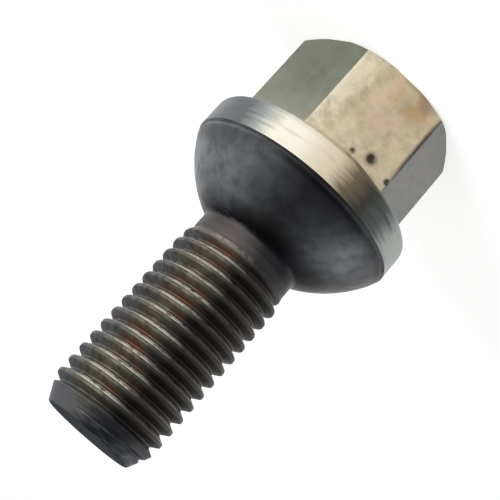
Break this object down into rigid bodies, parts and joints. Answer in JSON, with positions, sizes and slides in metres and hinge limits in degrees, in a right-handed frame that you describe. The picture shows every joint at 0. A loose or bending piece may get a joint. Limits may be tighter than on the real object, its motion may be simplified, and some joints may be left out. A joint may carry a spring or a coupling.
{
  "type": "wheel bolt",
  "caption": "Steel wheel bolt with a hexagon head, a wide collar with a rounded ball seat and a threaded shank with a coned tip, for fastening a wheel to its hub.",
  "frame": {"origin": "centre of the head's end face, on which the bolt stands", "axes": "+Z along the bolt's axis from the head to the tip; two hexagon flats face -Y and +Y"},
  "size_m": [0.0234, 0.0234, 0.0442],
  "materials": {
    "plated_steel": "dull zinc plating, worn pale on the head and collar, dark with grime and rust on the seat and thread"
  },
  "bodies": {
    "root": {"wheel_bolt": "plated_steel"}
  },
  "joints": []
}
